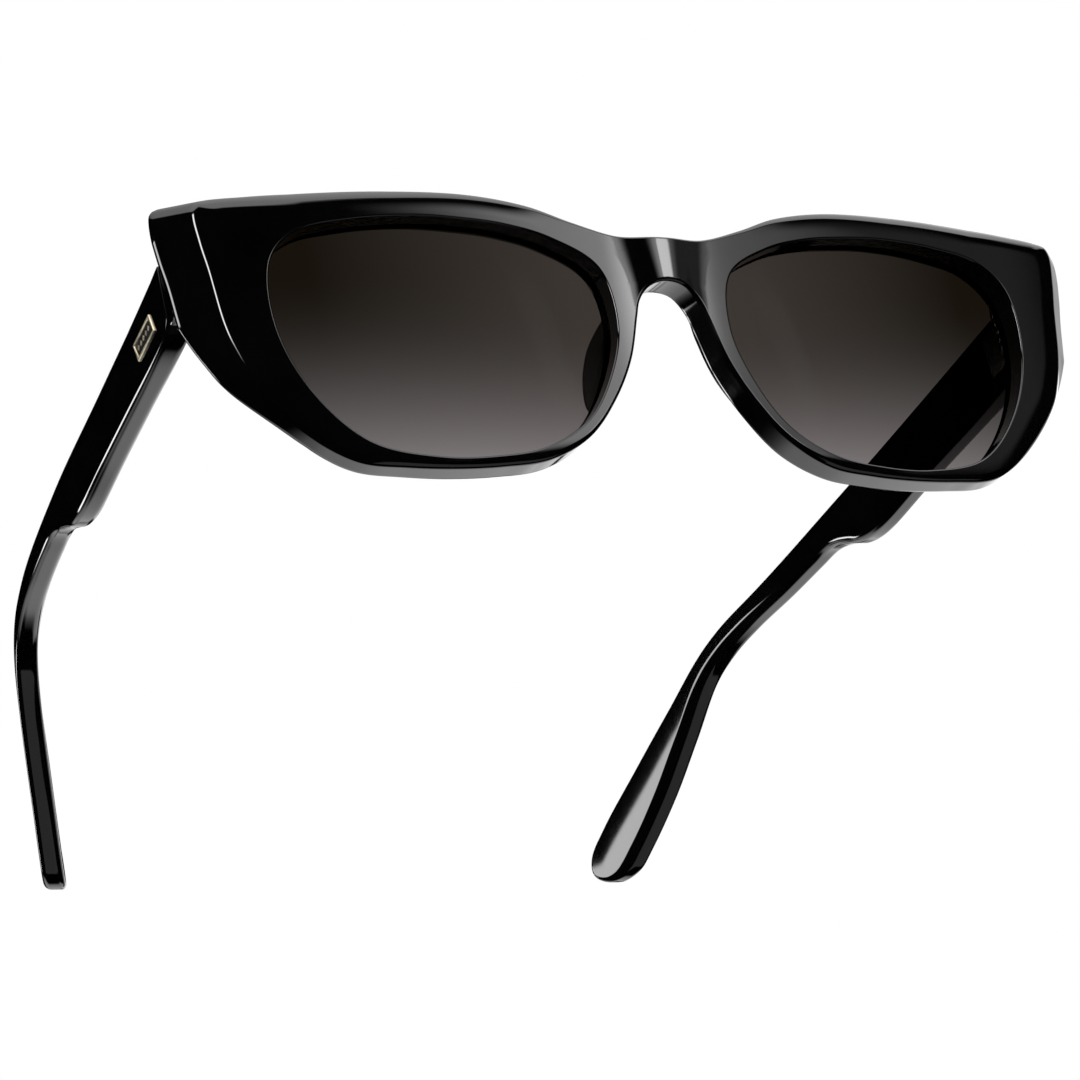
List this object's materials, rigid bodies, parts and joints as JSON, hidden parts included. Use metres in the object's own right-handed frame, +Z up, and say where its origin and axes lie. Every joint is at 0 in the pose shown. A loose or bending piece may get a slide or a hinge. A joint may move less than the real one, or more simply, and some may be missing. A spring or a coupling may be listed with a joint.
{
  "type": "cat eye sunglasses",
  "caption": "Cat eye sunglasses with a thick glossy acetate front, dark tinted domed lenses, faceted end pieces and hinged temples that fold inwards.",
  "frame": {"origin": "middle of the footprint, on the surface the open pair lies on", "axes": "+X towards the wearer's left, -Y the way the wearer looks, +Z up; the rims' lower edges and the temple tips touch Z=0"},
  "size_m": [0.1484, 0.148, 0.0432],
  "materials": {
    "acetate": "polished black acetate",
    "lens_tint": "polished grey-brown tint, darker at the top",
    "core_steel": "drawn wire",
    "hinge_metal": "satin nickel silver",
    "emblem_metal": "polished pale gold plating",
    "emblem_enamel": "black enamel"
  },
  "bodies": {
    "front": {"front_frame": "acetate", "lens_left": "lens_tint", "lens_right": "lens_tint", "nose_pad_left": "acetate", "nose_pad_right": "acetate", "hinge_front_leaf_left": "hinge_metal", "hinge_front_leaf_right": "hinge_metal", "hinge_screw_left": "hinge_metal", "hinge_screw_right": "hinge_metal"},
    "left_arm": {"temple_left": "acetate", "core_wire_left": "core_steel", "hinge_temple_leaf_left": "hinge_metal", "emblem_plate_left": "emblem_metal", "emblem_inlay_left": "emblem_enamel"},
    "right_arm": {"temple_right": "acetate", "core_wire_right": "core_steel", "hinge_temple_leaf_right": "hinge_metal", "emblem_plate_right": "emblem_metal", "emblem_inlay_right": "emblem_enamel"}
  },
  "joints": [
    {"name": "left_fold", "type": "hinge", "parent": "front", "child": "left_arm", "pos_m": [0.0648, -0.05669, 0.03261], "axis": [0, 0.0505, 0.9987], "range_deg": [0, 83]},
    {"name": "right_fold", "type": "hinge", "parent": "front", "child": "right_arm", "pos_m": [-0.0648, -0.05669, 0.03261], "axis": [0, -0.0505, -0.9987], "range_deg": [0, 71]}
  ]
}
